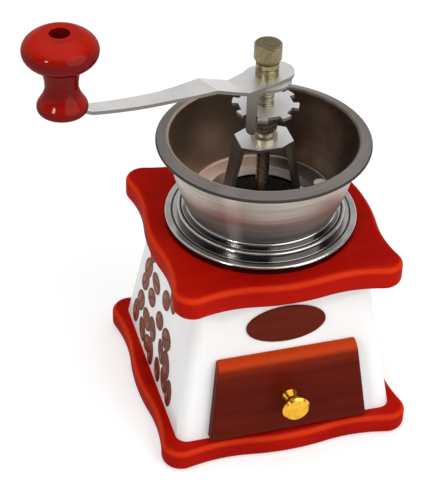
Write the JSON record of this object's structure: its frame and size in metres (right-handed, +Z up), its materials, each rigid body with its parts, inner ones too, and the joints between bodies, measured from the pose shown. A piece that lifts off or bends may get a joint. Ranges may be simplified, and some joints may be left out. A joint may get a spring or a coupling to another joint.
{
  "type": "hand coffee mill",
  "caption": "Hand coffee mill: tapered white glazed body between wavy red wooden plates, open steel hopper, cranked burr spindle with a turned knob, and a sliding grounds drawer.",
  "frame": {"origin": "centre of the base plate's flat underside", "axes": "+Z up along the spindle, -Y towards the drawer, +X to the right seen from the drawer"},
  "size_m": [0.1893, 0.1369, 0.2522],
  "materials": {
    "red_lacquer": "glossy red lacquer",
    "knob_lacquer": "glossy red lacquer",
    "glazed_white": "glossy white glaze, bean print on the left",
    "dark_stain": "dark red-brown stain, clear coat",
    "plain_wood": "bare",
    "hopper_steel": "satin",
    "bright_chrome": "polished",
    "spindle_steel": "machined",
    "dark_iron": "cast",
    "dull_brass": "dulled",
    "gold_brass": "polished"
  },
  "bodies": {
    "root": {"base_plate": "red_lacquer", "ceramic_body": "glazed_white", "top_plate": "red_lacquer", "tie_bolts": "spindle_steel", "hopper_collar": "bright_chrome", "hopper_bowl": "hopper_steel", "bridge_bracket": "bright_chrome", "hopper_screws": "bright_chrome", "bearing_bush": "dull_brass", "burr_housing": "dark_iron", "outer_burr": "dark_iron", "badge_plaque": "dark_stain", "drawer_left_guide": "plain_wood", "drawer_right_guide": "plain_wood"},
    "adjuster": {"adjuster_hub": "spindle_steel", "adjusting_wheel": "bright_chrome"},
    "spindle_set": {"spindle": "spindle_steel", "inner_burr": "dark_iron", "burr_washer": "spindle_steel", "burr_nut": "spindle_steel", "lock_clip": "bright_chrome", "crank_arm": "bright_chrome", "cap_nut": "dull_brass", "knob_washer": "bright_chrome", "knob_pin": "spindle_steel"},
    "knob": {"crank_knob": "knob_lacquer"},
    "drawer": {"drawer_front": "dark_stain", "drawer_left_side": "plain_wood", "drawer_right_side": "plain_wood", "drawer_back": "plain_wood", "drawer_bottom": "plain_wood", "drawer_knob": "gold_brass", "drawer_knob_screw": "spindle_steel"}
  },
  "joints": [
    {"name": "crank_spin", "type": "hinge", "parent": "root", "child": "adjuster", "pos_m": [0, 0, 0.16], "axis": [0, 0, 1], "continuous": true},
    {"name": "grind_adjust", "type": "slide", "parent": "adjuster", "child": "spindle_set", "axis": [0, 0, 1], "range_m": [0, 0.0015]},
    {"name": "knob_spin", "type": "hinge", "parent": "spindle_set", "child": "knob", "pos_m": [-0.10785, -0.05029, 0.22], "axis": [0, 0, 1], "continuous": true},
    {"name": "drawer_slide", "type": "slide", "parent": "root", "child": "drawer", "axis": [0, -1, 0], "range_m": [0, 0.07]}
  ]
}
